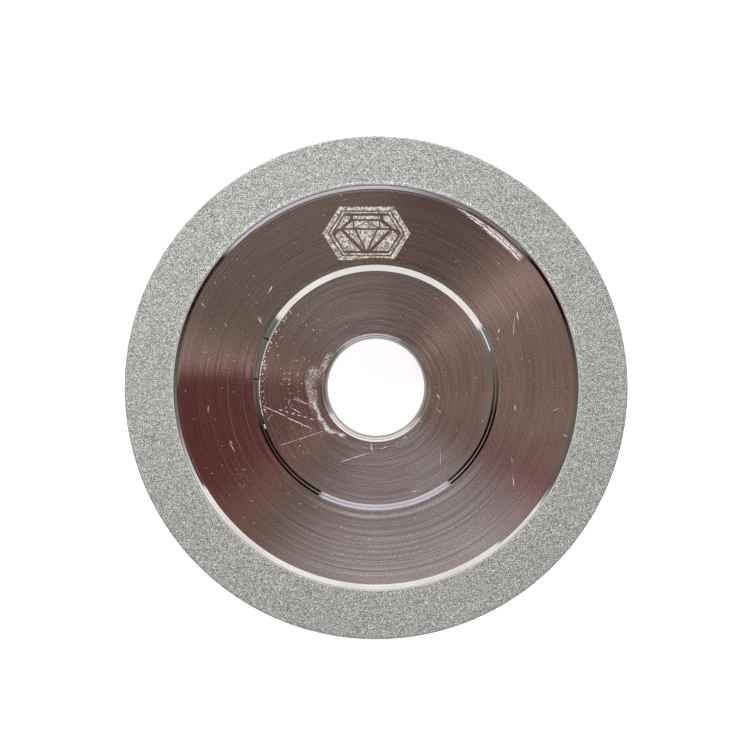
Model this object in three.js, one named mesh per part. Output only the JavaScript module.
// An electroplated diamond grinding wheel, 100 mm across with a 20 mm bore: a turned steel body whose
// rim carries a nickel plate that holds one layer of diamond grit.
// Millimetres, +Z up. The wheel lies on its rear seat with the grinding face up, and the origin is the
// middle of the bore in the plane of the rear seat, so Z is the axis that the wheel turns about.
//
// Every piece is turned about Z, so each one is an outline of (radius, height) points, in mm, that a
// LatheGeometry carries round the axis.
import * as THREE from "three";

// Driving dimensions.
const WHEEL_DIAMETER = 100; // over the grit
const OVERALL_THICKNESS = 12; // rear seat to grinding face
const BORE_DIAMETER = 20;
const BOSS_DIAMETER = 46.3; // the front flange seat
const RIM_FACE_INNER_RADIUS = 40.2; // where the plating is masked off
const TROUGH_DEPTH = 0.9; // the turned relief between boss and rim
const REAR_SEAT_DIAMETER = 56;
const BACK_CONE_ANGLE = THREE.MathUtils.degToRad(20);
const REAR_SEAT_STEP = 1.0; // how far the rear seat stands out from the back cone
const BACK_COAT_LENGTH = 3; // how far the plating runs up the back cone from the edge

// The plated coat.
const NICKEL_THICKNESS = 0.1;
const GRIT_STAND_OUT = 0.05; // how far the crystals stand out of the nickel
const COAT_THICKNESS = NICKEL_THICKNESS + GRIT_STAND_OUT;

// Small details of the turning.
const BORE_CHAMFER = 0.75;
const RIM_CORNER_RADIUS = 0.35; // front and back corners of the outer edge
const RIM_WALL = { upper: 0.4, upperDrop: 0.42, lower: 0.6 }; // from the rim face down to the trough
const BOSS_WALL = { upper: 0.5, land: 0.25, lower: 0.55, drop: 0.38, landDrop: 0.02 };
const SHOULDER = { land: 0.9, edge: 0.7 }; // the low step round the foot of the boss
const REAR_SEAT_EDGE = 1.0; // radial width of the slope round the rear seat
const SEGMENTS = 96; // facets round the axis
const CORNER_STEPS = 3; // facets round a corner

// What follows from them.
const boreRadius = BORE_DIAMETER / 2;
const bossRadius = BOSS_DIAMETER / 2;
const steelRadius = WHEEL_DIAMETER / 2 - COAT_THICKNESS;
const steelFace = OVERALL_THICKNESS - COAT_THICKNESS; // the boss and the bare rim are faced in one cut
const troughFloor = steelFace - TROUGH_DEPTH;
const rearSeatRadius = REAR_SEAT_DIAMETER / 2;
const coneFootRadius = rearSeatRadius + REAR_SEAT_EDGE;

const point = (radius, height) => new THREE.Vector2(radius, height);

// Points of an arc about a centre, from one angle to another, both in radians from the radial direction.
function arc(centre, radius, from, to) {
  const points = [];
  for (let i = 0; i <= CORNER_STEPS; i++) {
    const angle = from + ((to - from) * i) / CORNER_STEPS;
    points.push(point(centre.x + radius * Math.cos(angle), centre.y + radius * Math.sin(angle)));
  }
  return points;
}

// The height of the back cone's surface at a radius.
const coneHeight = (radius) => REAR_SEAT_STEP + (radius - coneFootRadius) * Math.tan(BACK_CONE_ANGLE);

// The plated part of the rim, at a distance out from the steel, as three stretches that follow each
// other: over the front face, round the edge with its two corners, and in along the back cone.
function rimPath(offset) {
  const coneNormal = BACK_CONE_ANGLE - Math.PI / 2;
  const cornerRadius = RIM_CORNER_RADIUS + offset;
  const cornerAxis = steelRadius - RIM_CORNER_RADIUS;
  const frontCentre = point(cornerAxis, steelFace - RIM_CORNER_RADIUS);
  // The back corner is tangent to the edge and to the cone.
  const backCentre = point(cornerAxis, coneHeight(cornerAxis) + RIM_CORNER_RADIUS / Math.cos(BACK_CONE_ANGLE));
  const edge = [
    ...arc(frontCentre, cornerRadius, Math.PI / 2, 0),
    ...arc(backCentre, cornerRadius, 0, coneNormal),
  ];
  const coneStart = edge[edge.length - 1];
  const coneEnd = point(
    coneStart.x - BACK_COAT_LENGTH * Math.cos(BACK_CONE_ANGLE),
    coneStart.y - BACK_COAT_LENGTH * Math.sin(BACK_CONE_ANGLE),
  );
  return {
    front: [point(RIM_FACE_INNER_RADIUS, steelFace + offset), edge[0]],
    edge,
    back: [coneStart, coneEnd],
  };
}

// A path's stretches joined into one run of points, with each shared end point once.
function joined(...stretches) {
  return stretches.flatMap((stretch, i) => (i === 0 ? stretch : stretch.slice(1)));
}

// The outline of a layer between two paths that run the same way.
const layer = (inner, outer) => [...outer, ...[...inner].reverse()];

// The steel body's outline, from the mouth of the bore outwards over the front and back underneath.
function bodyOutline() {
  const wall = BOSS_WALL;
  const front = [point(boreRadius, steelFace - BORE_CHAMFER), point(boreRadius + BORE_CHAMFER, steelFace)];
  let radius = bossRadius;
  let height = steelFace;
  front.push(point(radius, height));
  for (const [out, down] of [
    [wall.upper, wall.drop],
    [wall.land, wall.landDrop],
    [wall.lower, wall.drop],
    [SHOULDER.land, 0],
  ]) {
    radius += out;
    height -= down;
    front.push(point(radius, height));
  }
  const wallBreak = point(RIM_FACE_INNER_RADIUS - RIM_WALL.upper, steelFace - RIM_WALL.upperDrop);
  front.push(point(radius + SHOULDER.edge, troughFloor));
  front.push(point(wallBreak.x - RIM_WALL.lower, troughFloor), wallBreak);

  const rim = rimPath(0);
  const back = [
    point(coneFootRadius, REAR_SEAT_STEP),
    point(rearSeatRadius, 0),
    point(boreRadius + BORE_CHAMFER, 0),
    point(boreRadius, BORE_CHAMFER),
  ];
  return [...front, ...joined(rim.front, rim.edge, rim.back), ...back];
}

// A mesh turned about Z from an outline that runs clockwise, seen with the radius to the right.
function turned(name, outline, material) {
  const anticlockwise = [...outline, outline[0]].reverse();
  const geometry = new THREE.LatheGeometry(anticlockwise, SEGMENTS);
  geometry.rotateX(Math.PI / 2); // LatheGeometry turns about Y
  const mesh = new THREE.Mesh(geometry, material);
  mesh.name = name;
  return mesh;
}

const turnedSteel = new THREE.MeshStandardMaterial({ color: 0xc4bfbc, roughness: 0.22, metalness: 1 });
const nickelPlate = new THREE.MeshStandardMaterial({ color: 0xbdb9ae, roughness: 0.4, metalness: 1 });
const diamondGrit = new THREE.MeshStandardMaterial({ color: 0xaeaea8, roughness: 0.55, metalness: 0.5 });

const steel = rimPath(0);
const nickel = rimPath(NICKEL_THICKNESS);
const grit = rimPath(COAT_THICKNESS);

const wheel = new THREE.Group();
wheel.add(turned("wheel_body", bodyOutline(), turnedSteel));
wheel.add(
  turned(
    "nickel_bond_plate",
    layer(joined(steel.front, steel.edge, steel.back), joined(nickel.front, nickel.edge, nickel.back)),
    nickelPlate,
  ),
);
// The crystals of each working surface: the front face, the outer edge, and the back of the edge.
for (const [name, stretch] of [
  ["front_face_grit", "front"],
  ["outer_edge_grit", "edge"],
  ["back_edge_grit", "back"],
]) {
  wheel.add(turned(name, layer(nickel[stretch], grit[stretch]), diamondGrit));
}

export default wheel;
